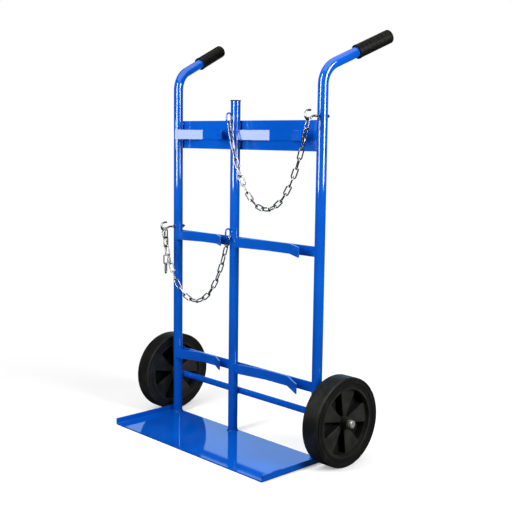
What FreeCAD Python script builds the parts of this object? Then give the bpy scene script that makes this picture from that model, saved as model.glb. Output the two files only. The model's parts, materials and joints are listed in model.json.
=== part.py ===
import FreeCAD, Part
import math
import os

from FreeCAD import Vector

# Gas cylinder trolley with two bays, a toe plate, two wheels and two retaining chains.
# X runs from left to right, +Y points back to the wheels, +Z up.
# The origin is on the floor, midway between the two side uprights.

# Frame tubes
tube_diameter = 30.0
tube_wall = 2.0
upright_spacing = 632.0
left_bay_width = 276.0
centre_tube_rise = 58.0
weld_gap = 0.1
weld_leg = 2.5

# Plug in the top of the centre tube
cap_thickness = 3.0
cap_round = 1.0
cap_overhang = 1.2
cap_plug_depth = 15.0
cap_clearance = 0.1

# Handles, bent back and outwards from the side uprights
handle_corner_rise = 140.0
handle_bend_radius = 68.0
handle_rise_angle = 23.9
handle_splay_angle = 12.2
handle_length = 245.0

# Handle grips
grip_length = 126.0
grip_wall = 4.9
grip_collar_wall = 5.6
grip_collar_length = 5.0
grip_end_thickness = 4.0
grip_end_round = 4.0
grip_clearance = 0.1
grip_pad_rows = 7
grip_pad_columns = 10
grip_groove_width = 3.0
grip_groove_depth = 1.2
grip_plain_length = 9.0

# Toe plate
plate_depth = 250.0
plate_thickness = 4.0
plate_bend_radius = 4.0
lip_height = 21.0
lip_clearance = 5.0

# Flat bars and back plate behind the tubes
bar_height = 30.0
bar_thickness = 5.0
lower_bar_top = 223.0
middle_bar_top = 620.0
back_plate_top = 977.0
back_plate_height = 88.0
back_plate_thickness = 4.0

# Cylinder cradles
strap_height = 30.0
strap_thickness = 4.0
strap_bend_radius = 6.0
upper_cradle_drop = 28.5
left_bend_shares = (0.395, 0.645)
left_flange_length = 60.0
right_bend_shares = (0.382, 0.6375)
right_flange_length = 90.0
flange_angle = 30.0
left_lap = 0.5
right_seat_reach = 8.0

# Axle and wheels
wheel_diameter = 260.0
tyre_width = 56.0
tyre_shoulder_radius = 4.5
tyre_groove_count = 5
tyre_groove_width = 1.2
tyre_groove_depth = 1.0
tyre_groove_pitch = 8.0
tyre_ring_count = 2
tyre_ring_pitch = 11.5
tyre_ring_width = 3.0
tyre_ring_depth = 2.0
tyre_bead_height = 8.0
tyre_bead_inset = 1.0
rim_diameter = 204.0
rim_wall = 6.0
rim_width = 52.0
web_thickness = 28.0
web_face_offset = 13.0
web_floor = 4.0
web_rib = 2.0
web_round = 1.0
pocket_margin = 0.6
pocket_count = 5
left_pocket_angle = 43.4
right_pocket_angle = 7.4
boss_diameter = 34.0
boss_inner_reach = 39.5
boss_outer_reach = 37.0
bush_wall = 2.0
press_gap = 0.05
running_clearance = 0.05
wheel_gap = 12.5
axle_offset = 5.5
axle_tube_diameter = 20.0
axle_rod_diameter = 16.0
axle_rod_gap = 0.1
washer_thickness = 2.0
washer_diameter = 22.0
end_play = 0.3
axle_cap_wall = 2.8
axle_cap_depth = 6.0
axle_cap_face = 2.5
axle_cap_round = 2.5

# Hooks, their washers and nuts
hook_wire = 6.0
hook_reach = 57.0
hook_ring_radius = 13.0
hook_drop = 11.0
hook_lip = 8.0
hook_hole_clearance = 0.2
hook_thread_end = 5.0
hook_washer_diameter = 14.0
hook_washer_thickness = 1.5
nut_across_flats = 10.0
nut_thickness = 5.0
nut_clearance = 0.1
upper_hook_rise = 10.0
lower_hook_rise = 13.5

# Painted links that anchor the chains
anchor_wire = 5.0
anchor_length = 34.0
anchor_width = 24.0
upper_anchor_rise = 7.0
lower_anchor_rise = 13.0

# Chains
link_wire = 4.0
link_inner_length = 29.5
link_width = 17.0
link_clearance = 0.5
upper_link_count = 23
lower_link_count = 19
tail_link_count = 5
chain_twist = 45.0
twist_ramp_links = 6
tail_turns = (8.0, 74.0, 145.0, 50.0, 120.0)
strand_offset = 5.5
tail_offset = 5.5

# One overrun lets every cutting tool pass clear of the face it cuts
overrun = 1.0

# Values worked out from the sizes above
X_AXIS = Vector(1, 0, 0)
Y_AXIS = Vector(0, 1, 0)
Z_AXIS = Vector(0, 0, 1)
LEFT = -1
RIGHT = 1
tube_radius = tube_diameter / 2
tube_face = tube_radius + weld_gap
upright_x = upright_spacing / 2
centre_x = left_bay_width - upright_x
right_bay_width = upright_spacing - left_bay_width
centre_tube_top = back_plate_top + centre_tube_rise
handle_corner_height = back_plate_top + handle_corner_rise
upper_cradle_top = back_plate_top - upper_cradle_drop
plate_half_width = upright_x + tube_radius + lip_clearance + plate_thickness
grip_bore_radius = tube_radius + grip_clearance
grip_radius = grip_bore_radius + grip_wall
grip_top = grip_clearance + grip_end_thickness
grip_bottom = grip_top - grip_length
grip_groove_radius = grip_radius - grip_groove_depth
pads_start = grip_bottom + grip_collar_length + grip_plain_length
pads_length = grip_top - grip_plain_length - pads_start
wheel_radius = wheel_diameter / 2
rim_radius = rim_diameter / 2
rim_inner_radius = rim_radius - rim_wall
boss_radius = boss_diameter / 2
axle_tube_radius = axle_tube_diameter / 2
axle_rod_radius = axle_rod_diameter / 2
axle_bore_radius = axle_rod_radius + axle_rod_gap
axle_y = tube_face + axle_tube_radius
axle_z = wheel_radius
wheel_x = plate_half_width + wheel_gap + tyre_width / 2
boss_inner_x = wheel_x - boss_inner_reach
inner_washer_x = boss_inner_x - end_play - washer_thickness
outer_washer_x = wheel_x + boss_outer_reach + end_play
axle_cap_x = outer_washer_x + washer_thickness
bush_bore_radius = axle_rod_radius + running_clearance
bush_radius = bush_bore_radius + bush_wall
upper_hook_height = back_plate_top + upper_hook_rise
lower_hook_height = middle_bar_top + lower_hook_rise
upper_anchor_height = back_plate_top + upper_anchor_rise
lower_anchor_height = middle_bar_top + lower_anchor_rise
hook_wire_radius = hook_wire / 2
hook_centre_rise = hook_ring_radius - hook_drop
anchor_y = -tube_face - anchor_width / 2
link_wire_radius = link_wire / 2
link_pitch = link_inner_length - link_clearance


# Helpers

def straight(start, end):
    return Part.LineSegment(start, end).toShape()


def curved(start, middle, end):
    return Part.Arc(start, middle, end).toShape()


def open_line(points):
    return [straight(a, b) for a, b in zip(points, points[1:])]


def closed_line(points):
    return open_line(points + points[:1])


def filled(edges):
    return Part.Face(Part.Wire(Part.sortEdges(edges)[0]))


def turned(edges, axis_point, axis):
    """Solid of revolution of a closed outline."""
    return filled(edges).revolve(axis_point, axis, 360)


def sleeve(radius, bore_radius, length, start, axis):
    """Round sleeve, tube or washer."""
    outer = Part.makeCylinder(radius, length, start, axis)
    return outer.cut(Part.makeCylinder(bore_radius, length, start, axis))


def rounded_corner(before, corner, after, radius):
    """Start, middle, end and centre of the arc that rounds a corner of a path."""
    to_before = (before - corner).normalize()
    to_after = (after - corner).normalize()
    half_angle = to_before.getAngle(to_after) / 2
    setback = radius / math.tan(half_angle)
    inwards = (to_before + to_after).normalize()
    centre = corner + inwards * (radius / math.sin(half_angle))
    start = corner + to_before * setback
    end = corner + to_after * setback
    return start, centre - inwards * radius, end, centre


def swept_rod(edges, radius):
    """Round rod along a path of lines and tangent arcs."""
    first = edges[0]
    start = first.valueAt(first.FirstParameter)
    heading = first.tangentAt(first.FirstParameter)
    section = Part.Wire(Part.makeCircle(radius, start, heading))
    return Part.Wire(edges).makePipeShell([section], True, False)


def strip_side(points, bend_radius, offset, normal):
    """One long side of a bent strip, offset from its centre line."""
    edges = []
    at = points[0] + normal.cross(points[1] - points[0]).normalize() * offset
    for before, corner, after in zip(points, points[1:], points[2:]):
        start, middle, end, centre = rounded_corner(before, corner, after, bend_radius)
        step_in = normal.cross(corner - before).normalize() * offset
        step_out = normal.cross(after - corner).normalize() * offset
        growth = math.copysign(offset, step_in.dot(start - centre))
        middle = middle + (middle - centre).normalize() * growth
        edges.append(straight(at, start + step_in))
        edges.append(curved(start + step_in, middle, end + step_out))
        at = end + step_out
    edges.append(straight(at, points[-1] + normal.cross(points[-1] - points[-2]).normalize() * offset))
    return edges


def bent_strip(points, bend_radius, thickness, normal):
    """Face of a strip of even thickness whose centre line runs through the points."""
    half = thickness / 2
    first_step = normal.cross(points[1] - points[0]).normalize() * half
    last_step = normal.cross(points[-1] - points[-2]).normalize() * half
    ends = [straight(points[0] - first_step, points[0] + first_step)]
    ends.append(straight(points[-1] - last_step, points[-1] + last_step))
    left_side = strip_side(points, bend_radius, half, normal)
    right_side = strip_side(points, bend_radius, -half, normal)
    return filled(left_side + right_side + ends)


def oval_link(wire, length, width):
    """Closed link around the origin, long along X and flat in the XY plane, by its outer size."""
    bend = (width - wire) / 2
    reach = (length - width) / 2
    corners = [Vector(x * reach, y * bend, 0) for x, y in ((-1, -1), (1, -1), (1, 1), (-1, 1))]
    edges = [
        straight(corners[0], corners[1]),
        curved(corners[1], Vector(reach + bend, 0, 0), corners[2]),
        straight(corners[2], corners[3]),
        curved(corners[3], Vector(-reach - bend, 0, 0), corners[0]),
    ]
    return swept_rod(edges, wire / 2)


def oriented(shape, along, normal, place):
    """Copy of a shape with its X along one direction and its Z along another."""
    across = normal.cross(along)
    matrix = FreeCAD.Matrix(
        along.x, across.x, normal.x, place.x,
        along.y, across.y, normal.y, place.y,
        along.z, across.z, normal.z, place.z,
        0, 0, 0, 1)
    copy = shape.copy()
    copy.Placement = FreeCAD.Placement(matrix)
    return copy


# Frame

def handle_heading(side):
    rise = math.radians(handle_rise_angle)
    splay = math.radians(handle_splay_angle)
    level = Vector(side * math.sin(splay), math.cos(splay), 0)
    return level * math.cos(rise) + Z_AXIS * math.sin(rise)


def handle_end(side):
    return Vector(side * upright_x, 0, handle_corner_height) + handle_heading(side) * handle_length


def upright(side, hook_height):
    foot = Vector(side * upright_x, 0, plate_thickness)
    corner = Vector(side * upright_x, 0, handle_corner_height)
    end = handle_end(side)
    bend_start, bend_middle, bend_end, _ = rounded_corner(foot, corner, end, handle_bend_radius)
    path = [straight(foot, bend_start), curved(bend_start, bend_middle, bend_end), straight(bend_end, end)]
    tube = swept_rod(path, tube_radius).cut(swept_rod(path, tube_radius - tube_wall))
    hole_start = Vector(side * upright_x, -tube_radius - overrun, hook_height)
    hole_length = tube_diameter + 2 * overrun
    hole_radius = hook_wire_radius + hook_hole_clearance
    return tube.cut(Part.makeCylinder(hole_radius, hole_length, hole_start, Y_AXIS))


def centre_upright():
    foot = Vector(centre_x, 0, plate_thickness)
    return sleeve(tube_radius, tube_radius - tube_wall, centre_tube_top - plate_thickness, foot, Z_AXIS)


def centre_cap():
    seat = Vector(centre_x, 0, centre_tube_top)
    disc = Part.makeCylinder(tube_radius + cap_overhang, cap_thickness, seat, Z_AXIS)
    rim = [edge for edge in disc.Edges if edge.BoundBox.ZMin > centre_tube_top + cap_round]
    plug_radius = tube_radius - tube_wall - cap_clearance
    plug = Part.makeCylinder(plug_radius, cap_plug_depth, seat - Z_AXIS * cap_plug_depth, Z_AXIS)
    return disc.makeFillet(cap_round, rim[:1]).fuse(plug).removeSplitter()


def cross_bar(top, height, thickness):
    return Part.makeBox(upright_spacing, thickness, height, Vector(-upright_x, tube_face, top - height))


def cradle_start(axis, first, seat_reach, lap):
    """End of a strap that runs past the axis of its tube at the given reach in front."""
    bearing = math.atan2(first.y - axis.y, first.x - axis.x)
    touch_angle = bearing - math.acos(seat_reach / first.distanceToPoint(axis))
    touch = axis + Vector(math.cos(touch_angle), math.sin(touch_angle), 0) * seat_reach
    return touch + (touch - first).normalize() * lap


def cradle(tube_x, bend_places, flange_length, seat_reach, lap, top):
    """Strap from the front of a tube, back to the bar and forwards again as a free flange."""
    axis = Vector(tube_x, 0, top - strap_height)
    back_y = tube_radius - strap_thickness / 2
    first, second = [axis + Vector(place, back_y, 0) for place in bend_places]
    turn = math.radians(flange_angle)
    tip = second + Vector(math.cos(turn), -math.sin(turn), 0) * flange_length
    line = [cradle_start(axis, first, seat_reach, lap), first, second, tip]
    strap = bent_strip(line, strap_bend_radius, strap_thickness, Z_AXIS).extrude(Z_AXIS * strap_height)
    clear = Part.makeCylinder(tube_face, strap_height + 2 * overrun, axis - Z_AXIS * overrun)
    return strap.cut(clear)


def left_cradle(top):
    lapped_reach = tube_face + strap_thickness / 2
    bends = [share * left_bay_width for share in left_bend_shares]
    return cradle(-upright_x, bends, left_flange_length, lapped_reach, left_lap, top)


def right_cradle(top):
    bends = [share * right_bay_width for share in right_bend_shares]
    return cradle(centre_x, bends, right_flange_length, right_seat_reach, 0, top)


def toe_plate():
    half = plate_half_width - plate_thickness / 2
    floor = plate_thickness / 2
    section = [
        Vector(-half, tube_radius, lip_height),
        Vector(-half, tube_radius, floor),
        Vector(half, tube_radius, floor),
        Vector(half, tube_radius, lip_height),
    ]
    return bent_strip(section, plate_bend_radius, plate_thickness, Y_AXIS).extrude(-Y_AXIS * plate_depth)


def base_welds():
    beads = []
    for x in (-upright_x, centre_x, upright_x):
        foot = Vector(x, 0, plate_thickness)
        root = foot + X_AXIS * tube_face
        section = [root, root + X_AXIS * weld_leg, root + Z_AXIS * weld_leg]
        beads.append(turned(closed_line(section), foot, Z_AXIS))
    return Part.makeCompound(beads)


# Grips, drawn along Z with the end of the handle tube at zero

def grip_side():
    """Side of the grip's section, with its collar and the grooves between the rows of pads."""
    collar = grip_bore_radius + grip_collar_wall
    collar_top = grip_bottom + grip_collar_length
    outline = [(grip_bore_radius, grip_clearance), (grip_bore_radius, grip_bottom), (collar, grip_bottom),
               (collar, collar_top), (grip_radius, collar_top)]
    row_pitch = (pads_length + grip_groove_width) / grip_pad_rows
    for row in range(grip_pad_rows + 1):
        end = pads_start + row * row_pitch
        start = end - grip_groove_width
        outline += [(grip_radius, start), (grip_groove_radius, start)]
        outline += [(grip_groove_radius, end), (grip_radius, end)]
    outline.append((grip_radius, grip_top - grip_end_round))
    return [Vector(radius, 0, height) for radius, height in outline]


def grip_slots():
    """Lengthwise grooves between the columns of pads."""
    slots = []
    for column in range(grip_pad_columns):
        corner = Vector(grip_groove_radius, -grip_groove_width / 2, pads_start)
        slot = Part.makeBox(grip_groove_depth + overrun, grip_groove_width, pads_length, corner)
        slot.rotate(Vector(0, 0, 0), Z_AXIS, column * 360 / grip_pad_columns)
        slots.append(slot)
    return slots


def grip(side):
    """Moulded sleeve with a collar, a closed end and rows of raised pads."""
    line = grip_side()
    round_centre = Vector(grip_radius - grip_end_round, 0, grip_top - grip_end_round)
    round_middle = round_centre + Vector(1, 0, 1).normalize() * grip_end_round
    round_end = round_centre + Z_AXIS * grip_end_round
    edges = open_line(line)
    edges.append(curved(line[-1], round_middle, round_end))
    edges += open_line([round_end, Z_AXIS * grip_top, Z_AXIS * grip_clearance, line[0]])
    body = turned(edges, Vector(0, 0, 0), Z_AXIS).cut(grip_slots())
    body.Placement = FreeCAD.Placement(handle_end(side), FreeCAD.Rotation(Z_AXIS, handle_heading(side)))
    return body


# Axle and wheels

def axle_point(x):
    """Point on the axle, by its offset from the middle of the axle."""
    return Vector(axle_offset + x, axle_y, axle_z)


def axle_tube():
    start = axle_point(-inner_washer_x)
    return sleeve(axle_tube_radius, axle_bore_radius, 2 * inner_washer_x, start, X_AXIS)


def axle_rod():
    half_length = axle_cap_x + axle_cap_depth - axle_rod_gap
    return Part.makeCylinder(axle_rod_radius, 2 * half_length, axle_point(-half_length), X_AXIS)


def washers(inner_face):
    pair = []
    for start in (inner_face, -inner_face - washer_thickness):
        place = axle_point(start)
        pair.append(sleeve(washer_diameter / 2, axle_bore_radius, washer_thickness, place, X_AXIS))
    return Part.makeCompound(pair)


def axle_cap(side):
    seat = axle_point(side * axle_cap_x)
    outwards = X_AXIS * side
    length = axle_cap_depth + axle_cap_face
    cap = Part.makeCylinder(axle_bore_radius + axle_cap_wall, length, seat, outwards)
    rim = [edge for edge in cap.Edges if (edge.CenterOfMass - seat).dot(outwards) > axle_cap_depth]
    socket = Part.makeCylinder(axle_bore_radius, axle_cap_depth, seat, outwards)
    return cap.makeFillet(axle_cap_round, rim[:1]).cut(socket)


def wheel_point(side, offset, radius):
    """Point of a wheel's section, by its offset outwards from the middle of the tyre."""
    return axle_point(side * (wheel_x + offset)) + Z_AXIS * radius


def tyre_wall():
    """Side wall from the rim to the shoulder, with sunk rings."""
    half = tyre_width / 2
    trough = half - tyre_ring_depth
    face = half - tyre_bead_inset
    line = [(face, rim_radius)]
    for ring in range(tyre_ring_count):
        start = rim_radius + tyre_bead_height + ring * tyre_ring_pitch
        end = start + tyre_ring_width
        line += [(face, start), (trough, start), (trough, end), (half, end)]
        face = half
    line.append((half, wheel_radius - tyre_shoulder_radius))
    return line


def tyre_tread():
    """Tread from one shoulder to the other, with grooves around it."""
    shoulder = tyre_width / 2 - tyre_shoulder_radius
    floor = wheel_radius - tyre_groove_depth
    line = [(-shoulder, wheel_radius)]
    for groove in range(tyre_groove_count):
        middle = (groove - (tyre_groove_count - 1) / 2) * tyre_groove_pitch
        start = middle - tyre_groove_width / 2
        end = middle + tyre_groove_width / 2
        line += [(start, wheel_radius), (start, floor), (end, floor), (end, wheel_radius)]
    line.append((shoulder, wheel_radius))
    return line


def tyre(side):
    tread = [wheel_point(side, offset, radius) for offset, radius in tyre_tread()]
    edges = open_line(tread)
    bead_points = []
    for mirror, shoulder in ((-1, tread[0]), (1, tread[-1])):
        wall = [wheel_point(side, mirror * offset, radius) for offset, radius in tyre_wall()]
        outwards = X_AXIS * side * mirror
        centre = shoulder - Z_AXIS * tyre_shoulder_radius
        middle = centre + (outwards + Z_AXIS).normalize() * tyre_shoulder_radius
        edges += open_line(wall)
        edges.append(curved(wall[-1], middle, shoulder))
        bead_points.append(wall[0])
    edges.append(straight(*bead_points))
    return turned(edges, axle_point(0), X_AXIS)


def web_pocket(side, angle, start_offset, depth):
    """Wedge-shaped pocket between two spokes of the wheel's web."""
    half_sector = math.pi / (2 * pocket_count)
    arcs = []
    for radius in (boss_radius + pocket_margin, rim_inner_radius - pocket_margin):
        half_angle = half_sector - math.asin(web_rib / 2 / radius)
        middle = axle_point(side * (wheel_x + start_offset))
        turns = (angle - half_angle, angle, angle + half_angle)
        arcs.append([middle + Vector(0, math.cos(turn), math.sin(turn)) * radius for turn in turns])
    near, far = arcs
    edges = [curved(*near), straight(near[2], far[2]), curved(*far), straight(far[0], near[0])]
    return filled(edges).extrude(X_AXIS * side * depth)


def rounded_spokes(body, side):
    """Rounds the long edges of the spokes on the outer and the inner face of the web."""
    offsets = (web_face_offset, web_face_offset - web_thickness)
    faces = [axle_point(side * (wheel_x + offset)).x for offset in offsets]
    edges = []
    for edge in body.Edges:
        box = edge.BoundBox
        on_face = any(abs(box.XMin - x) + abs(box.XMax - x) < overrun / 2 for x in faces)
        if on_face and isinstance(edge.Curve, Part.Line):
            edges.append(edge)
    return body.makeFillet(web_round, edges)


def hub(side, pocket_angle):
    """Rim, boss and a web pressed alternately towards the outside and the inside."""
    bore = bush_radius + press_gap
    rim_outer = rim_radius - press_gap
    rim_half = rim_width / 2
    web_outer = web_face_offset
    web_inner = web_face_offset - web_thickness
    section = [
        (-boss_inner_reach, bore), (-boss_inner_reach, boss_radius),
        (web_inner, boss_radius), (web_inner, rim_inner_radius),
        (-rim_half, rim_inner_radius), (-rim_half, rim_outer),
        (rim_half, rim_outer), (rim_half, rim_inner_radius),
        (web_outer, rim_inner_radius), (web_outer, boss_radius),
        (boss_outer_reach, boss_radius), (boss_outer_reach, bore),
    ]
    points = [wheel_point(side, offset, radius) for offset, radius in section]
    body = turned(closed_line(points), axle_point(0), X_AXIS)
    depth = web_thickness - web_floor
    sector = 2 * math.pi / pocket_count
    pockets = []
    for index in range(pocket_count):
        raised = math.radians(pocket_angle) + index * sector
        pockets.append(web_pocket(side, raised, web_inner - overrun, depth + overrun))
        pockets.append(web_pocket(side, raised + sector / 2, web_outer - depth, depth + overrun))
    return rounded_spokes(body.cut(pockets), side)


def bush(side):
    length = boss_inner_reach + boss_outer_reach
    return sleeve(bush_radius, bush_bore_radius, length, axle_point(side * boss_inner_x), X_AXIS * side)


# Hooks and anchors

def hook(side, height):
    """Hook whose shank passes through an upright and whose ring opens back towards it."""
    run = math.sqrt(4 * hook_ring_radius * hook_drop - hook_drop ** 2)
    turn = 2 * math.atan2(hook_drop, run)
    ring_centre = Vector(side * upright_x, -hook_reach, height + hook_centre_rise)
    bend_start = Vector(side * upright_x, run - hook_reach, height)
    bend_centre = bend_start - Z_AXIS * hook_ring_radius
    thread = hook_washer_thickness + nut_thickness + hook_thread_end
    shank_end = Vector(side * upright_x, tube_face + thread, height)

    def on_bend(angle):
        return bend_centre + Vector(0, -math.sin(angle), math.cos(angle)) * hook_ring_radius

    ring_middle = ring_centre - Vector(0, math.cos(turn / 2), math.sin(turn / 2)) * hook_ring_radius
    ring_top = ring_centre + Z_AXIS * hook_ring_radius
    path = [
        straight(shank_end, bend_start),
        curved(bend_start, on_bend(turn / 2), on_bend(turn)),
        curved(on_bend(turn), ring_middle, ring_top),
        straight(ring_top, ring_top + Y_AXIS * hook_lip),
    ]
    return swept_rod(path, hook_wire_radius)


def on_hooks(make, start_y):
    """The same small piece on the shanks of both hooks."""
    upper = make(Vector(upright_x, start_y, upper_hook_height))
    lower = make(Vector(-upright_x, start_y, lower_hook_height))
    return Part.makeCompound([upper, lower])


def nut(start):
    radius = nut_across_flats / math.sqrt(3)
    turns = [math.pi / 3 * corner for corner in range(6)]
    corners = [start + Vector(math.cos(turn), 0, math.sin(turn)) * radius for turn in turns]
    block = filled(closed_line(corners)).extrude(Y_AXIS * nut_thickness)
    return block.cut(Part.makeCylinder(hook_wire_radius + nut_clearance, nut_thickness, start, Y_AXIS))


def hook_washer(start):
    bore = hook_wire_radius + nut_clearance
    return sleeve(hook_washer_diameter / 2, bore, hook_washer_thickness, start, Y_AXIS)


def anchor(height):
    link = oval_link(anchor_wire, anchor_length, anchor_width)
    return oriented(link, Z_AXIS, X_AXIS, Vector(centre_x, anchor_y, height))


# Chains

def anchor_seat(height):
    """Middle of the anchor's wire where the first link of a chain hangs."""
    return Vector(centre_x, anchor_y, height - anchor_length / 2 + anchor_wire / 2)


def hook_seat(side, height, offset):
    """Middle of the wire that a link hangs on, beside the lowest point of the hook's ring."""
    bearing = hook_wire_radius + link_wire_radius + link_clearance
    drop = math.sqrt((hook_ring_radius - bearing) ** 2 - offset ** 2) + bearing
    return Vector(side * upright_x, -hook_reach - offset, height + hook_centre_rise - drop)


def link_slopes(step, lowest, count):
    return [math.atan((index - lowest) * step) for index in range(count)]


def level_slopes(lengths, step, rise):
    """Slopes with the given step between links whose two ends differ in height by the rise."""
    low, high = -len(lengths), 2 * len(lengths)
    for _ in range(60):
        slopes = link_slopes(step, (low + high) / 2, len(lengths))
        if sum(length * math.sin(slope) for length, slope in zip(lengths, slopes)) > rise:
            low = (low + high) / 2
        else:
            high = (low + high) / 2
    return slopes


def hanging_slopes(lengths, run, rise):
    """Slopes of links that hang between two ends: their tangents grow by equal steps."""
    low, high = 0, len(lengths)
    for _ in range(60):
        slopes = level_slopes(lengths, (low + high) / 2, rise)
        if sum(length * math.cos(slope) for length, slope in zip(lengths, slopes)) > run:
            low = (low + high) / 2
        else:
            high = (low + high) / 2
    return slopes


def chain_link():
    return oval_link(link_wire, link_inner_length + 2 * link_wire, link_width)


def bearing_point(seat, seat_wire, away):
    """Middle of an end link's wire where it bears on its seat."""
    return seat - away * (seat_wire / 2 + link_wire_radius + link_clearance)


def hung_chain(name, start, end, count):
    """Links of a chain from an anchor's wire to a hook's wire, in the upright plane of both."""
    level = Vector(end.x - start.x, end.y - start.y, 0)
    run = level.Length
    level = level.normalize()
    front = level.cross(Z_AXIS) * math.copysign(1, level.x)
    first_length = link_pitch - (anchor_wire + link_clearance) / 2
    last_length = link_pitch - (hook_wire + link_clearance) / 2
    lengths = [first_length] + [link_pitch] * (count - 2) + [last_length]
    link = chain_link()
    links = []
    headings = []
    joint = start
    for index, slope in enumerate(hanging_slopes(lengths, run, end.z - start.z)):
        along = level * math.cos(slope) + Z_AXIS * math.sin(slope)
        upwards = Z_AXIS * math.cos(slope) - level * math.sin(slope)
        offset = lengths[index] - link_pitch / 2 if index == 0 else link_pitch / 2
        ramp = min(1, min(index, count - 1 - index) / twist_ramp_links)
        turn = math.radians(chain_twist * ramp + 90 * (index % 2))
        normal = front * math.cos(turn) + upwards * math.sin(turn)
        links.append(oriented(link, along, normal, joint + along * offset))
        headings.append(along)
        joint = joint + along * lengths[index]
    print(name, "bears at", bearing_point(start, anchor_wire, headings[0]),
          "and", bearing_point(end, hook_wire, -headings[-1]))
    return Part.makeCompound(links)


def chain_tail():
    """Free links that hang straight down from the lower hook."""
    seat = hook_seat(LEFT, lower_hook_height, -tail_offset)
    middle = seat - Z_AXIS * (link_pitch / 2 - (hook_wire + link_clearance) / 2)
    link = chain_link()
    links = []
    for index in range(tail_link_count):
        turn = math.radians(tail_turns[index % len(tail_turns)])
        normal = Vector(math.sin(turn), -math.cos(turn), 0)
        links.append(oriented(link, -Z_AXIS, normal, middle - Z_AXIS * link_pitch * index))
    print("chain_tail bears at", bearing_point(seat, hook_wire, -Z_AXIS))
    return Part.makeCompound(links)


def fixed_nodes():
    return {
        "left_upright": upright(LEFT, lower_hook_height),
        "right_upright": upright(RIGHT, upper_hook_height),
        "centre_upright": centre_upright(),
        "centre_cap": centre_cap(),
        "back_plate": cross_bar(back_plate_top, back_plate_height, back_plate_thickness),
        "middle_bar": cross_bar(middle_bar_top, bar_height, bar_thickness),
        "lower_bar": cross_bar(lower_bar_top, bar_height, bar_thickness),
        "toe_plate": toe_plate(),
        "base_welds": base_welds(),
        "axle_tube": axle_tube(),
        "axle_rod": axle_rod(),
        "inner_washers": washers(inner_washer_x),
        "outer_washers": washers(outer_washer_x),
        "upper_hook": hook(RIGHT, upper_hook_height),
        "lower_hook": hook(LEFT, lower_hook_height),
        "hook_lock_nuts": on_hooks(nut, -tube_face - nut_thickness),
        "hook_washers": on_hooks(hook_washer, tube_face),
        "hook_end_nuts": on_hooks(nut, tube_face + hook_washer_thickness),
        "upper_anchor": anchor(upper_anchor_height),
        "lower_anchor": anchor(lower_anchor_height),
    }


def chain_nodes():
    upper_ends = (anchor_seat(upper_anchor_height), hook_seat(RIGHT, upper_hook_height, 0))
    lower_ends = (anchor_seat(lower_anchor_height), hook_seat(LEFT, lower_hook_height, strand_offset))
    return {
        "upper_chain": hung_chain("upper_chain", *upper_ends, upper_link_count),
        "lower_chain": hung_chain("lower_chain", *lower_ends, lower_link_count),
        "chain_tail": chain_tail(),
    }


nodes = fixed_nodes()
nodes.update(chain_nodes())
for row, top in (("upper", upper_cradle_top), ("middle", middle_bar_top), ("lower", lower_bar_top)):
    nodes[row + "_left_cradle"] = left_cradle(top)
    nodes[row + "_right_cradle"] = right_cradle(top)
for word, side, pocket_angle in (("left", LEFT, left_pocket_angle), ("right", RIGHT, right_pocket_angle)):
    nodes[word + "_grip"] = grip(side)
    nodes[word + "_tyre"] = tyre(side)
    nodes[word + "_hub"] = hub(side, pocket_angle)
    nodes[word + "_bush"] = bush(side)
    nodes[word + "_axle_cap"] = axle_cap(side)

os.makedirs("parts", exist_ok=True)
for name, shape in nodes.items():
    shape.exportStep("parts/" + name + ".step")
    print(name, "solids", len(shape.Solids), "valid", shape.isValid(), "volume", round(shape.Volume))
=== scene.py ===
# %% [markdown]
# A gas cylinder trolley is a welded frame of blue tube on two solid wheels, with two chains that keep the
# cylinders in. The CAD model already holds every tube, plate and link at its real size, so this lesson
# only dresses it: paint, zinc, rubber, the weld beads and the screw threads, and then the light and the
# camera. The model comes in first and is never moved, because each new piece takes its place from it.

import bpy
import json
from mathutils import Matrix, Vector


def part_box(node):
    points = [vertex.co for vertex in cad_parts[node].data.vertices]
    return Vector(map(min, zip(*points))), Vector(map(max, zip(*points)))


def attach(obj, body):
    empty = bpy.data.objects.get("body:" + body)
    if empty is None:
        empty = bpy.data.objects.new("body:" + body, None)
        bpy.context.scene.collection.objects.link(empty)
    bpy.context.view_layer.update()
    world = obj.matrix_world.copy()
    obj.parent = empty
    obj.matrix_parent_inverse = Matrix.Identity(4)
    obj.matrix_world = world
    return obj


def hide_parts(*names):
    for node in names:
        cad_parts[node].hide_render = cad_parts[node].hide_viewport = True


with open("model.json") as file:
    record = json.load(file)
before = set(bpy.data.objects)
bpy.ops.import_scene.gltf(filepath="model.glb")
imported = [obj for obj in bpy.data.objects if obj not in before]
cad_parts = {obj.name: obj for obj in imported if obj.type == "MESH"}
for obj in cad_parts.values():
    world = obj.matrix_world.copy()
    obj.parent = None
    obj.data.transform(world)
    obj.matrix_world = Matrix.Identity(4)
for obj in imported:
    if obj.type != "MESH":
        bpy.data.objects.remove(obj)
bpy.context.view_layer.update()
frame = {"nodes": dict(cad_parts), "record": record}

# %% [markdown]
# Blender and the frame work in metres, while a weld or a thread is a matter of millimetres, so small
# sizes are written as a number times MM. The axes are those of the frame: X runs along the axle, Y back
# towards the handles and Z up.

# %% Units and axes
import json
import math

import bmesh
import bpy
from mathutils import Matrix, Vector

MM = 0.001
X_AXIS = Vector((1, 0, 0))
Y_AXIS = Vector((0, 1, 0))
Z_AXIS = Vector((0, 0, 1))
print("one millimetre is", MM, "m")

# %% [markdown]
# All weld beads, threads and finishes sit on the same few members, so their places are measured once
# here. The centre tube is the plainest one: its box gives the radius of the tubes and the top of the toe
# plate. The side tubes lean outwards at the handles, so only the inner side of their boxes tells where
# they stand.

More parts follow.
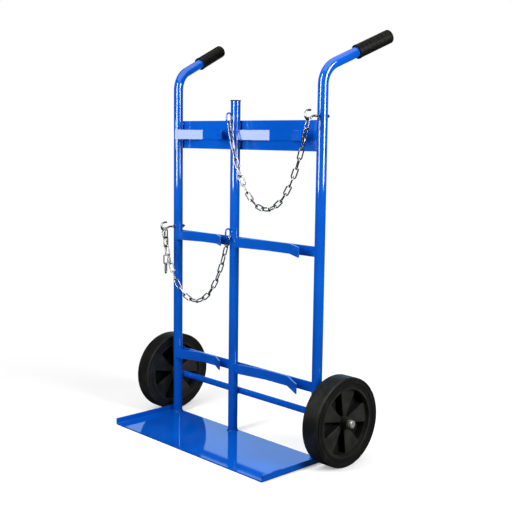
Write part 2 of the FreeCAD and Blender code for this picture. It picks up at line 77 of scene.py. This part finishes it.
# %% Measure the members
centre_low, centre_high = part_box("centre_upright")
tube_radius = (centre_high.x - centre_low.x) / 2
plate_top = centre_low.z
tube_axes = {
    "left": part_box("left_upright")[1].x - tube_radius,
    "centre": (centre_low.x + centre_high.x) / 2,
    "right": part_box("right_upright")[0].x + tube_radius,
}
axle_low, axle_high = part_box("axle_tube")
axle_centre = (axle_low + axle_high) / 2
axle_radius = (axle_high.z - axle_low.z) / 2
print("tubes at", {name: round(x, 4) for name, x in tube_axes.items()}, "radius", round(tube_radius, 4))

# %% [markdown]
# A material in Blender is a graph of nodes, and drawing one by hand hides the thought behind it. Here one
# small class wraps the output of a node, so that a sum such as 1 - mask is written as a sum and the Math
# nodes appear by themselves. Every other node comes from the method called node.

# %% Shader sums
class Shade:
    """The output of a node, which can be used in sums like a number."""

    def __init__(self, tree, socket=None):
        self.tree = tree
        self.socket = socket

    def node(self, kind, sockets=(), out=0, **settings):
        """Adds a node: its settings first, then the values or links of its sockets."""
        made = self.tree.nodes.new("ShaderNode" + kind)
        for name, value in settings.items():
            setattr(made, name, value)
        for name, value in dict(sockets).items():
            if isinstance(value, Shade):
                self.tree.links.new(value.socket, made.inputs[name])
            else:
                made.inputs[name].default_value = value
        return Shade(self.tree, made.outputs[out])

    def sum_of(self, operation, first, second):
        return self.node("Math", {0: first, 1: second}, operation=operation)

    def __add__(self, other):
        return self.sum_of("ADD", self, other)

    def __sub__(self, other):
        return self.sum_of("SUBTRACT", self, other)

    def __rsub__(self, other):
        return self.sum_of("SUBTRACT", other, self)

    def __mul__(self, other):
        return self.sum_of("MULTIPLY", self, other)

    __radd__ = __add__
    __rmul__ = __mul__


print("shader sums ready")

# %% [markdown]
# The finishes share a few patterns. A noise gives clouds and grain, a smooth step makes patches out of a
# noise, a mix turns one colour into another, and a bump makes a surface look uneven without changing its
# shape.

# %% Finish tools
finishes = {}


def mixed(shade, factor, first, second):
    """One colour turning into another."""
    return shade.node("Mix", {0: factor, 6: first, 7: second}, out=2, data_type="RGBA")


def noise(shade, place, scale, detail=2.0, roughness=0.5):
    """Clouds from 0 to 1, as many to the metre as the scale says."""
    return shade.node("TexNoise", {"Vector": place, "Scale": scale, "Detail": detail, "Roughness": roughness})


def steps(shade, value, low, high):
    """0 below the low value, 1 above the high one and smooth between."""
    limits = {0: value, 1: low, 2: high, 3: 0.0, 4: 1.0}
    return shade.node("MapRange", limits, interpolation_type="SMOOTHSTEP")


def bumped(shade, height, strength, distance):
    """A surface that looks as uneven as the height says, up to the distance."""
    return shade.node("Bump", {"Height": height, "Strength": strength, "Distance": distance})


def new_finish(name):
    """A fresh material, its Principled shader and the object coordinates to draw its patterns on."""
    material = bpy.data.materials.new(name)
    material.use_nodes = True
    shade = Shade(material.node_tree)
    shader = material.node_tree.nodes["Principled BSDF"]
    place = shade.node("TexCoord", out="Object")
    return material, shader, shade, place


def feed(shader, **inputs):
    """Sets the shader's sockets, named with underscores, to values or links."""
    tree = shader.id_data
    for name, value in inputs.items():
        socket = shader.inputs[name.replace("_", " ")]
        if isinstance(value, Shade):
            tree.links.new(value.socket, socket)
        else:
            socket.default_value = value


print("finish tools ready")

# %% [markdown]
# The frame has a powder coat: a deep blue plastic film, baked on, with a mirror gloss. Close up it is
# never flat. It flows a little while it bakes, which leaves the fine waves that painters call orange
# peel, and the blue is a little thinner and lighter in places. So the colour drifts slowly over the
# metal, a bump a few millimetres long makes the waves, and a clear coat gives the gloss over a softer
# base. Specks of dust that were baked in dull the coat in a few points.

# %% Blue powder coat
deep_blue = (0.0010, 0.080, 0.48, 1)
light_blue = (0.0020, 0.104, 0.58, 1)
drift_per_metre = 5.0
peel_per_metre = 260
peel_strength = 0.02
peel_height = 0.06 * MM
speck_per_metre = 900

paint, shader, shade, place = new_finish("blue_paint")
drift = noise(shade, place, drift_per_metre, detail=3.0)
peel = noise(shade, place, peel_per_metre, detail=1.0)
speck = steps(shade, noise(shade, place, speck_per_metre, detail=0.0), low=0.70, high=0.80)
film = mixed(shade, steps(shade, drift, low=0.3, high=0.7), deep_blue, light_blue)
feed(
    shader,
    Base_Color=film,
    Roughness=0.30 + 0.10 * drift + 0.12 * speck,
    Specular_IOR_Level=0.0,
    Coat_Weight=0.95 - 0.2 * speck,
    Coat_Roughness=0.06,
    Coat_IOR=1.9,
    Normal=bumped(shade, peel, peel_strength, peel_height),
)
finishes["blue_paint"] = paint
print("blue powder coat with", len(paint.node_tree.nodes), "nodes")

# %% [markdown]
# Chains, hooks and their nuts are bright zinc plate. Zinc is a pale grey metal with a hint of yellow
# where the passivation is thicker. Small crystals and handling marks break up its shine, and some dark
# grime stays on it. The tint and the grime come from slow noises, the marks from a fine one that also
# roughens the surface.

# %% Bright zinc
zinc_grey = (0.40, 0.40, 0.38, 1)
zinc_warm = (0.41, 0.37, 0.29, 1)
zinc_soot = (0.13, 0.12, 0.10, 1)
tint_per_metre = 60
mark_per_metre = 520
mark_strength = 0.25
mark_height = 0.08 * MM
grime_per_metre = 140
grime_cover = 0.55

zinc, shader, shade, place = new_finish("bright_zinc")
tint = noise(shade, place, tint_per_metre)
mark = noise(shade, place, mark_per_metre, detail=3.0, roughness=0.6)
grime = steps(shade, noise(shade, place, grime_per_metre, detail=4.0, roughness=0.65), low=0.56, high=0.74)
plate_colour = mixed(shade, steps(shade, tint, low=0.45, high=0.7), zinc_grey, zinc_warm)
feed(
    shader,
    Base_Color=mixed(shade, grime_cover * grime, plate_colour, zinc_soot),
    Metallic=1.0,
    Roughness=0.11 + 0.12 * mark + 0.18 * grime,
    Normal=bumped(shade, mark, mark_strength, mark_height),
)
finishes["bright_zinc"] = zinc
print("bright zinc with", len(zinc.node_tree.nodes), "nodes")

# %% [markdown]
# The axle rod, its washers and the pressed caps at its ends are bare bright steel from a lathe. Turning
# leaves fine rings round the axle, so the distance from the axle line drives a ripple. A Mapping node
# puts the axle at the centre of the pattern first.

# %% Turned steel
steel_light = (0.60, 0.59, 0.53, 1)
steel_dark = (0.42, 0.41, 0.37, 1)
ring_pitch = 0.55 * MM
ring_strength = 0.15
ring_height = 0.03 * MM
smear_per_metre = 180

steel, shader, shade, place = new_finish("bright_steel")
axle_place = (0, -axle_centre.y, -axle_centre.z)
off_axle = shade.node("Mapping", {"Vector": place, "Location": axle_place, "Scale": (0, 1, 1)})
radius = shade.node("VectorMath", {0: off_axle}, out="Value", operation="LENGTH")
rings = shade.node("Math", {0: radius * (2 * math.pi / ring_pitch)}, operation="SINE") * 0.5 + 0.5
smear = noise(shade, place, smear_per_metre, detail=3.0)
feed(
    shader,
    Base_Color=mixed(shade, steps(shade, smear, low=0.35, high=0.7), steel_light, steel_dark),
    Metallic=0.75 - 0.2 * smear,
    Roughness=0.34 + 0.14 * smear + 0.05 * rings,
    Normal=bumped(shade, rings, ring_strength, ring_height),
)
finishes["bright_steel"] = steel
print("turned steel with", len(steel.node_tree.nodes), "nodes")

# %% [markdown]
# The tyres are solid black rubber with carbon in it. New rubber has a dull sheen, a faint pale bloom in
# patches and the fine grain of the mould. The bloom only lifts the black a little, or the tyre would look
# dusty.

# %% Tyre rubber
rubber_black = (0.0085, 0.0085, 0.0080, 1)
rubber_bloom = (0.022, 0.021, 0.019, 1)
bloom_per_metre = 18
tyre_grain_per_metre = 700
tyre_grain_strength = 0.30
tyre_grain_height = 0.10 * MM

tyre_rubber, shader, shade, place = new_finish("tyre_rubber")
bloom = steps(shade, noise(shade, place, bloom_per_metre, detail=4.0, roughness=0.6), low=0.40, high=0.75)
grain = noise(shade, place, tyre_grain_per_metre)
feed(
    shader,
    Base_Color=mixed(shade, bloom, rubber_black, rubber_bloom),
    Roughness=0.40 + 0.16 * bloom + 0.10 * grain,
    Specular_IOR_Level=0.22,
    Normal=bumped(shade, grain, tyre_grain_strength, tyre_grain_height),
)
finishes["tyre_rubber"] = tyre_rubber
print("tyre rubber with", len(tyre_rubber.node_tree.nodes), "nodes")

# %% [markdown]
# The hubs have wedge-shaped webs with deep pockets between them, and the pockets are painted near black as
# painted shade for their depth. A pocket is whatever lies between the outer and the inner faces of the webs.
# These faces are found on the hub itself: they lie square to the axle, farther out than the bore and nearer
# in than the rim.

# %% Measure the webs
web_start = 0.3
web_end = 0.6
square_enough = 0.99

left_tyre_low, left_tyre_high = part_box("left_tyre")
right_tyre_low, right_tyre_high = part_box("right_tyre")
left_wheel_x = (left_tyre_low.x + left_tyre_high.x) / 2
right_wheel_x = (right_tyre_low.x + right_tyre_high.x) / 2
between_wheels = (left_wheel_x + right_wheel_x) / 2
wheel_reach = (right_wheel_x - left_wheel_x) / 2
tyre_radius = (right_tyre_high.z - right_tyre_low.z) / 2


def web_faces(hub, wheel_x):
    """Where the inner and the outer faces of the webs lie, from the middle of the wheel."""
    places = []
    for face in hub.data.polygons:
        middle = hub.matrix_world @ face.center
        from_axle = math.hypot(middle.y - axle_centre.y, middle.z - axle_centre.z)
        on_webs = web_start * tyre_radius < from_axle < web_end * tyre_radius
        if on_webs and abs(face.normal.x) > square_enough:
            places.append(middle.x - wheel_x)
    return min(places), max(places)


web_inner, web_outer = web_faces(frame["nodes"]["right_hub"], right_wheel_x)
print("hub webs from", round(web_inner / MM, 1), "to", round(web_outer / MM, 1), "mm")

# %% [markdown]
# The hub is moulded in black plastic with a leather-like grain that hides scratches. Cells of a Voronoi
# pattern make that grain. The webs get a grey bloom from hands and dust, while the pockets between them
# are painted near black, a painted shade for their deep hollows. The two wheels mirror each other, so the
# distance from the middle between them tells web from pocket on both.

# %% Hub plastic
hub_black = (0.015, 0.015, 0.013, 1)
hub_grey = (0.028, 0.028, 0.024, 1)
# painted shade: the near black that the deep pockets take for the shade in their hollows
pocket_shade_black = (0.0015, 0.0015, 0.0015, 1)
web_edge = 1.5 * MM
pocket_edge = 4.0 * MM
hub_cells_per_metre = 620.0
hub_cell_strength = 0.25
hub_cell_height = 0.10 * MM
hub_cloud_per_metre = 26

hub_plastic, shader, shade, place = new_finish("hub_plastic")
cells = shade.node("TexVoronoi", {"Vector": place, "Scale": hub_cells_per_metre},
                   out="Distance", feature="F1")
cloud = noise(shade, place, hub_cloud_per_metre, detail=3.0)
across = shade.node("SeparateXYZ", {0: place}, out="X")
from_frame = shade.node("Math", {0: across - between_wheels}, operation="ABSOLUTE")
outwards = from_frame - wheel_reach
on_outer = steps(shade, outwards, web_outer - pocket_edge, web_outer - web_edge)
off_inner = steps(shade, outwards, web_inner + web_edge, web_inner + pocket_edge)
on_web = on_outer + (1 - off_inner)
skin = mixed(shade, steps(shade, cloud, low=0.35, high=0.7), hub_black, hub_grey)
feed(
    shader,
    # the pockets take the painted shade, the webs their own skin
    Base_Color=mixed(shade, on_web, pocket_shade_black, skin),
    Roughness=0.34 + 0.12 * cells + 0.08 * cloud + 0.4 * (1 - on_web),
    Specular_IOR_Level=0.30,
    Normal=bumped(shade, cells, hub_cell_strength, hub_cell_height),
)
finishes["hub_plastic"] = hub_plastic
print("hub plastic with", len(hub_plastic.node_tree.nodes), "nodes")

# %% [markdown]
# Three small finishes are left. The bearing sleeves are pale plastic, hardly seen at the ends of the
# hubs. The grips are soft black vinyl with a satin skin, and the plug of the centre tube is a plain black
# moulding. One function makes all three from two tones, a roughness and a grain.

# %% Bush, grip and plug
moulded_cloud_per_metre = 40
moulded_grain_strength = 0.30


def moulded(name, dark, light, roughness, grain_per_metre, grain_height):
    """Moulded plastic in two close tones with a fine grain."""
    material, shader, shade, place = new_finish(name)
    cloud = noise(shade, place, moulded_cloud_per_metre, detail=3.0)
    grain = noise(shade, place, grain_per_metre)
    feed(
        shader,
        Base_Color=mixed(shade, steps(shade, cloud, low=0.3, high=0.7), dark, light),
        Roughness=roughness + 0.12 * grain + 0.06 * cloud,
        Specular_IOR_Level=0.15,
        Normal=bumped(shade, grain, moulded_grain_strength, grain_height),
    )
    finishes[name] = material
    print(name, "with", len(material.node_tree.nodes), "nodes")


moulded("bush_plastic", dark=(0.58, 0.56, 0.50, 1), light=(0.70, 0.68, 0.62, 1),
        roughness=0.38, grain_per_metre=300, grain_height=0.05 * MM)
moulded("grip_rubber", dark=(0.0025, 0.0025, 0.0022, 1), light=(0.007, 0.007, 0.006, 1),
        roughness=0.38, grain_per_metre=800, grain_height=0.08 * MM)
moulded("cap_plastic", dark=(0.010, 0.010, 0.012, 1), light=(0.018, 0.018, 0.020, 1),
        roughness=0.30, grain_per_metre=500, grain_height=0.05 * MM)

# %% [markdown]
# Each CAD node says in the record which finish it takes, so one loop dresses them all. The finish goes
# into the material slots that a node already has, and nothing else of the node changes.

# %% Dress the nodes
for subpart in frame["record"]["subparts"]:
    for material_slot in frame["nodes"][subpart["node"]].material_slots:
        material_slot.material = finishes[subpart["material_slot"]]

# %% [markdown]
# A new piece starts as a bmesh, Blender's workbench for meshes. When its shape is done, its doubles are
# merged, its faces are turned outwards, and it becomes an object at the origin that rides on a body of
# the frame. Both beads and threads start from a small circle that faces the way in which it will be
# pushed or spun.

# %% Piece tools
merge_distance = 0.001 * MM


def new_piece(name, bm, body, slot):
    """Makes the mesh an object, dresses it and lets it ride on its body."""
    bmesh.ops.remove_doubles(bm, verts=bm.verts, dist=merge_distance)
    bmesh.ops.recalc_face_normals(bm, faces=bm.faces)
    mesh = bpy.data.meshes.new(name)
    bm.to_mesh(mesh)
    bm.free()
    mesh.shade_smooth()
    mesh.materials.append(finishes[slot])
    piece = bpy.data.objects.new(name, mesh)
    bpy.context.scene.collection.objects.link(piece)
    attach(piece, body)
    print(name, "of", len(mesh.polygons), "faces")
    return piece


def circle_section(bm, centre, heading, radius, sides):
    """A small circle of edges that faces the heading."""
    turn = heading.to_track_quat("Z", "Y").to_matrix().to_4x4()
    stand = Matrix.Translation(centre) @ turn
    made = bmesh.ops.create_circle(bm, segments=sides, radius=radius, matrix=stand)
    verts = made["verts"]
    return verts + list({edge for vert in verts for edge in vert.link_edges})


print("piece tools ready")

# %% [markdown]
# A weld bead is a row of small overlapping puddles, so it has ripples along it. A bead round the foot of
# a tube is a small circle that is spun round the tube, and a straight bead is the same circle pushed
# along in steps, which a spin without a turn does. Afterwards each section is made a little larger and
# smaller in turn.

# %% Bead tools
bead_sides = 10
ripple_pitch = 2.4 * MM
ripple_share = 0.09
steps_per_ripple = 4
least_ripples = 2
tip_share = 0.15


def ring_bead(bm, centre, ring_radius, bead_radius):
    """A rippled bead round an upright tube."""
    before = set(bm.verts)
    ripples = round(2 * math.pi * ring_radius / ripple_pitch)
    section = circle_section(bm, centre + X_AXIS * ring_radius, Y_AXIS, bead_radius, bead_sides)
    bmesh.ops.spin(bm, geom=section, cent=centre, axis=Z_AXIS, angle=2 * math.pi,
                   steps=ripples * steps_per_ripple, use_merge=True)
    for vert in set(bm.verts) - before:
        turn = math.atan2(vert.co.y - centre.y, vert.co.x - centre.x)
        middle = centre + Vector((math.cos(turn), math.sin(turn), 0)) * ring_radius
        vert.co = middle + (vert.co - middle) * (1 + ripple_share * math.cos(ripples * turn))


def straight_bead(bm, start, end, bead_radius):
    """A rippled bead with rounded ends from one point to another."""
    before = set(bm.verts)
    length = (end - start).length
    heading = (end - start).normalized()
    count = max(least_ripples, round(length / ripple_pitch)) * steps_per_ripple
    section = circle_section(bm, start, heading, bead_radius, bead_sides)
    bmesh.ops.spin(bm, geom=section, cent=start, axis=heading, angle=0,
                   dvec=heading * (length / count), steps=count)
    made = set(bm.verts) - before
    bmesh.ops.holes_fill(bm, edges=[edge for edge in bm.edges if edge.is_boundary], sides=0)
    for vert in made:
        along = (vert.co - start).dot(heading)
        middle = start + heading * along
        fade = max(0.0, min(1.0, along / bead_radius, (length - along) / bead_radius))
        size = math.sqrt(1 - (1 - fade) ** 2) * (1 - tip_share) + tip_share
        ripple = 1 + ripple_share * math.cos(2 * math.pi * along / ripple_pitch)
        vert.co = middle + (vert.co - middle) * size * ripple


print("bead tools ready")

# %% [markdown]
# The three tubes stand on the toe plate in a bead all round, the only welds that the front view shows
# well. The CAD has a plain cone there, and the rippled rings take its place.

# %% Beads at the feet
foot_bead_radius = 2.0 * MM
foot_bead_out = 0.4 * foot_bead_radius

bm = bmesh.new()
for x in tube_axes.values():
    foot = Vector((x, 0, plate_top + foot_bead_out))
    ring_bead(bm, foot, tube_radius + foot_bead_out, foot_bead_radius)
foot_beads = new_piece("foot_beads", bm, "frame", "blue_paint")
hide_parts("base_welds")

# %% [markdown]
# The back plate and the two bars lie against the backs of the tubes. A flat bar and a round tube leave a
# narrow wedge on each side of their contact, and the welder fills it. At the side tubes the bar ends on
# the tube, so the outer bead goes over the end of the bar.

# %% Beads behind the tubes
bar_bead_radius = 1.8 * MM
bar_bead_inset = 2 * bar_bead_radius
wedge_reach = 6.5 * MM
wedge_out = 0.45 * bar_bead_radius
end_reach = 1.0 * MM
end_in = 0.4 * bar_bead_radius

bm = bmesh.new()
for bar in ("back_plate", "middle_bar", "lower_bar"):
    bar_low, bar_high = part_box(bar)
    for name, x in tube_axes.items():
        for side in (-1, 1):
            outer = (name == "left" and side < 0) or (name == "right" and side > 0)
            reach = end_reach if outer else wedge_reach
            y = bar_low.y + end_in if outer else bar_low.y - wedge_out
            straight_bead(bm, Vector((x + side * reach, y, bar_low.z + bar_bead_inset)),
                          Vector((x + side * reach, y, bar_high.z - bar_bead_inset)), bar_bead_radius)
new_piece("bar_beads", bm, "frame", "blue_paint")

# %% [markdown]
# The bent straps of the cradles are welded to the fronts of the tubes with one upright bead on each side
# of the strap. Where a strap touches its tube is read from the strap itself: its corners that lie on the
# tube give the two angles. A strap that runs past the tube leaves a wider wedge behind it, so its second
# bead lies farther round.

# %% Beads at the cradles
strap_bead_radius = 1.4 * MM
strap_bead_out = 0.3 * strap_bead_radius
strap_bead_inset = 2 * strap_bead_radius
contact_gap = 0.3 * MM
corner_turn = 0.10
wedge_turn = 0.45


def contact_turns(strap, tube_x):
    """The first and the last angle round a tube at which a strap touches it."""
    turns = []
    for vert in strap.data.vertices:
        off = strap.matrix_world @ vert.co - X_AXIS * tube_x
        if off.xy.length < tube_radius + contact_gap:
            turns.append(math.atan2(off.y, off.x))
    return min(turns), max(turns)


bm = bmesh.new()
for row in ("upper", "middle", "lower"):
    for bay, tube, last_turn in (("left", "left", wedge_turn), ("right", "centre", corner_turn)):
        strap_name = row + "_" + bay + "_cradle"
        strap_low, strap_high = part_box(strap_name)
        bead_length = strap_high.z - strap_low.z - 2 * strap_bead_inset
        first, last = contact_turns(frame["nodes"][strap_name], tube_axes[tube])
        for turn in (first - corner_turn, last + last_turn):
            out = Vector((math.cos(turn), math.sin(turn), 0)) * (tube_radius + strap_bead_out)
            foot = Vector((tube_axes[tube], 0, strap_low.z + strap_bead_inset)) + out
            straight_bead(bm, foot, foot + Z_AXIS * bead_length, strap_bead_radius)
new_piece("strap_beads", bm, "frame", "blue_paint")

# %% [markdown]
# The axle tube crosses behind the three uprights and is welded to each above and below the crossing. The
# two round tubes touch in one point only, so the bead fills the gap a little above and below that point.
# The loops for the chains have two short beads each, one on either side of their wire.

# %% Beads at the axle and the loops
cross_bead_radius = 2.2 * MM
cross_bead_out = 0.9 * cross_bead_radius
cross_bead_share = 0.85
cross_bead_half = 7.0 * MM
loop_bead_radius = 1.3 * MM
loop_bead_out = 0.3 * loop_bead_radius
loop_bead_share = 1 / 5

bm = bmesh.new()
for x in tube_axes.values():
    for side in (-1, 1):
        z = axle_centre.z + side * cross_bead_share * axle_radius
        middle = Vector((x, tube_radius + cross_bead_out, z))
        half = X_AXIS * cross_bead_half
        straight_bead(bm, middle - half, middle + half, cross_bead_radius)
for loop in ("upper_anchor", "lower_anchor"):
    loop_low, loop_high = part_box(loop)
    loop_middle = (loop_low + loop_high) / 2
    half = Z_AXIS * (loop_bead_share * (loop_high.z - loop_low.z))
    for x in (loop_low.x, loop_high.x):
        middle = Vector((x, -tube_radius - loop_bead_out, loop_middle.z))
        straight_bead(bm, middle - half, middle + half, loop_bead_radius)
new_piece("cross_beads", bm, "frame", "blue_paint")

# %% [markdown]
# The hooks are bent from threaded rod, held in the tube by a nut on each side. A thread is one ridge that
# climbs round the rod, so a small square is spun about the rod and moved on by one pitch in each turn. It
# shows behind the end nuts and for some turns in front of the lock nuts.

# %% Threads on the hooks
thread_pitch = 1.0 * MM
ridge_radius = 0.45 * MM
ridge_in = 0.3 * ridge_radius
ridge_sides = 4
thread_steps = 14
front_turns = 12

upper_hook_low, upper_hook_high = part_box("upper_hook")
rod_radius = (upper_hook_high.x - upper_hook_low.x) / 2
lock_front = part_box("hook_lock_nuts")[0].y
end_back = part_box("hook_end_nuts")[1].y
washers_low, washers_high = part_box("hook_washers")
washer_radius = washers_high.x - tube_axes["right"]


def thread(bm, x, z, start_y, turns):
    """One ridge round a rod along Y."""
    before = set(bm.edges)
    start = Vector((x, start_y, z + rod_radius - ridge_in))
    section = circle_section(bm, start, X_AXIS, ridge_radius, ridge_sides)
    bmesh.ops.spin(bm, geom=section, cent=Vector((x, start_y, z)), axis=Y_AXIS, angle=2 * math.pi * turns,
                   dvec=Y_AXIS * (thread_pitch / thread_steps), steps=turns * thread_steps)
    bmesh.ops.holes_fill(bm, edges=[edge for edge in set(bm.edges) - before if edge.is_boundary], sides=0)


bm = bmesh.new()
for hook, x, z in (("upper_hook", tube_axes["right"], washers_high.z - washer_radius),
                   ("lower_hook", tube_axes["left"], washers_low.z + washer_radius)):
    back_turns = int((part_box(hook)[1].y - end_back) / thread_pitch) - 1
    thread(bm, x, z, end_back + ridge_radius, back_turns)
    thread(bm, x, z, lock_front - ridge_radius - front_turns * thread_pitch, front_turns)
new_piece("hook_threads", bm, "frame", "bright_zinc")

# %% [markdown]
# Gloss paint shows the lamps themselves, so their places can be read from the streaks on the tubes. A
# round tube turns each upright lamp into one thin line. The left line comes from a tall soft box in
# front, the right line from one beside the right wheel, and both end where the lower edge of the boxes
# does, above the middle bar. A small card low on the left shines back from the first bend of the upper
# cradles, and a wide sheet overhead lights the toe plate. A weak lamp behind fills in the back, and the
# gloss doesn't show it. The camera sees no lamp, so that no view has a white panel in it.

# %% Soft boxes
box_low = 0.70
box_high = 2.10
box_middle = (box_low + box_high) / 2
box_height = box_high - box_low


def soft_box(name, place, aim, width, height, radiance, mirrored=True):
    """A flat lamp, as bright as the radiance says: 1 is the white of the backdrop."""
    light = bpy.data.lights.new(name, "AREA")
    light.shape = "RECTANGLE"
    light.size = width
    light.size_y = height
    light.energy = radiance * math.pi * width * height
    lamp = bpy.data.objects.new(name, light)
    lamp.location = place
    lamp.rotation_euler = (aim - place).to_track_quat("-Z", "Y").to_euler()
    lamp.visible_camera = False
    lamp.visible_glossy = mirrored
    bpy.context.scene.collection.objects.link(lamp)
    print(name, "of", round(light.energy, 1), "W")


soft_box("front_box", place=Vector((0.02, -1.40, box_middle)), aim=Vector((0.02, 0, box_middle)),
         width=0.40, height=box_height, radiance=16.0)
soft_box("side_box", place=Vector((2.20, 0.15, box_middle)), aim=Vector((0, 0, box_middle)),
         width=0.66, height=box_height, radiance=18.5)
soft_box("low_card", place=Vector((-0.69, -1.30, 0.94)), aim=Vector((-0.1, 0, 0.94)),
         width=0.34, height=0.125, radiance=5.5)
soft_box("top_sheet", place=Vector((0.1, 0.0, 3.2)), aim=Vector((0, 0, 0)),
         width=4.0, height=4.0, radiance=0.95)
soft_box("back_fill", place=Vector((-0.5, 2.3, 1.5)), aim=Vector((0, 0, 0.5)),
         width=2.0, height=1.2, radiance=3.0, mirrored=False)

# %% [markdown]
# The trolley stands before a white backdrop in a dim room. A Light Path node tells what is looking: the
# camera, gloss, or soft light. Gloss paint and zinc see white only where the backdrop hangs, and there it
# is a little bluer than white, as daylight is. The floor and the room share these rules.

# %% Backdrop tools
white = (1, 1, 1, 1)
cool_white = (0.62, 0.95, 1.25, 1)
backdrop_way = Vector((-0.70, 0.71, 0))
backdrop_edge = 0.86
backdrop_full = 0.95


def ray_kinds(shade):
    """1 for the camera's rays, for those from gloss and for those that pass through something clear."""
    kinds = ("Camera", "Glossy", "Transmission")
    return [shade.node("LightPath", out="Is " + kind + " Ray") for kind in kinds]


def at_backdrop(shade, way):
    """1 where a direction points at the backdrop, 0 where it points past it."""
    facing = shade.node("VectorMath", {0: way, 1: backdrop_way}, out="Value", operation="DOT_PRODUCT")
    return steps(shade, facing, backdrop_edge, backdrop_full)


print("backdrop towards", [round(c, 2) for c in backdrop_way])

# %% [markdown]
# The floor is a plain pale sheet that runs back into the backdrop. Near the trolley it is a matt surface
# with a soft shadow, lifted almost to white for the camera. Farther off it turns into the white of the
# backdrop, so no line shows where the floor ends. Gloss sees it dark, apart from the part that belongs to
# the backdrop.

# %% Floor
floor_size = 40.0
floor_lift = 0.29
floor_glow = 1.16
floor_grey = (0.30, 0.30, 0.30, 1)
dim_floor = 0.03
fade_start = 0.7
fade_end = 1.6

bm = bmesh.new()
bmesh.ops.create_grid(bm, x_segments=1, y_segments=1, size=floor_size / 2)
floor_mesh = bpy.data.meshes.new("floor")
bm.to_mesh(floor_mesh)
bm.free()
floor = bpy.data.objects.new("floor", floor_mesh)
bpy.context.scene.collection.objects.link(floor)

floor_finish = bpy.data.materials.new("white_floor")
floor_finish.use_nodes = True
floor_tree = floor_finish.node_tree
floor_tree.nodes.remove(floor_tree.nodes["Principled BSDF"])
shade = Shade(floor_tree)
seen, mirrored, through = ray_kinds(shade)
matt = shade.node("BsdfDiffuse", {"Color": mixed(shade, seen, floor_grey, white)})
place = shade.node("TexCoord", out="Object")
off_middle = shade.node("VectorMath", {0: place}, out="Value", operation="LENGTH")
outwards = shade.node("VectorMath", {0: place}, operation="NORMALIZE")
far = steps(shade, off_middle, fade_start, fade_end)
near_lift = floor_lift + (1 - floor_lift) * far
lift = (seen + through) * near_lift + mirrored
glossed = dim_floor + (1 - dim_floor) * far * at_backdrop(shade, outwards)
strength = (1 - mirrored) * (floor_glow + (1 - floor_glow) * far) + mirrored * glossed
tone = mixed(shade, mirrored, white, cool_white)
glow = shade.node("Emission", {"Color": tone, "Strength": strength})
lifted = shade.node("MixShader", {0: lift, 1: matt, 2: glow})
floor_tree.links.new(lifted.socket, floor_tree.nodes["Material Output"].inputs["Surface"])
floor_mesh.materials.append(floor_finish)
print("floor fades out from", fade_start, "to", fade_end, "m")

# %% [markdown]
# The room is the world round the scene. Whatever looks straight out sees white. Gloss sees the backdrop
# where it hangs and the dim room elsewhere, which gives the tubes their dark edges and the chain its
# contrast. For soft light the room counts as one even grey.

# %% Room
room_light = 0.13
dim_side = 0.012

room = bpy.data.worlds.new("white_room")
room.use_nodes = True
bpy.context.scene.world = room
shade = Shade(room.node_tree)
seen, mirrored, through = ray_kinds(shade)
way = shade.node("TexCoord", out="Generated")
backdrop = dim_side + (1 - dim_side) * at_backdrop(shade, way)
soft = 1 - seen - mirrored - through
feed(
    room.node_tree.nodes["Background"],
    Color=mixed(shade, mirrored, white, cool_white),
    Strength=seen + through + mirrored * backdrop + soft * room_light,
)
print("room light", room_light)

# %% [markdown]
# The camera stands in front of the right wheel at waist height, looks a little down and is a touch out of
# level. Its place and its three angles come from the vanishing lines of the tubes and the plate.

# %% Camera
camera_place = Vector((2.0284, -1.8864, 0.9229))
camera_yaw = 0.8073
camera_pitch = 0.1282
camera_roll = 0.0126
camera_lens = 64.02
camera_sensor = 36.0

level_right = Vector((math.cos(camera_yaw), math.sin(camera_yaw), 0))
level_ahead = Vector((-math.sin(camera_yaw), math.cos(camera_yaw), 0))
ahead = level_ahead * math.cos(camera_pitch) - Z_AXIS * math.sin(camera_pitch)
above = level_right.cross(ahead)
right = level_right * math.cos(camera_roll) + above * math.sin(camera_roll)
up = above * math.cos(camera_roll) - level_right * math.sin(camera_roll)

camera_data = bpy.data.cameras.new("camera")
camera_data.lens = camera_lens
camera_data.sensor_width = camera_sensor
camera = bpy.data.objects.new("camera", camera_data)
turn = Matrix((right, up, -ahead)).transposed()
camera.matrix_world = Matrix.Translation(camera_place) @ turn.to_4x4()
bpy.context.scene.collection.objects.link(camera)
bpy.context.scene.camera = camera
bpy.context.scene.view_settings.view_transform = "Standard"
print("camera", [round(c, 3) for c in camera_place])
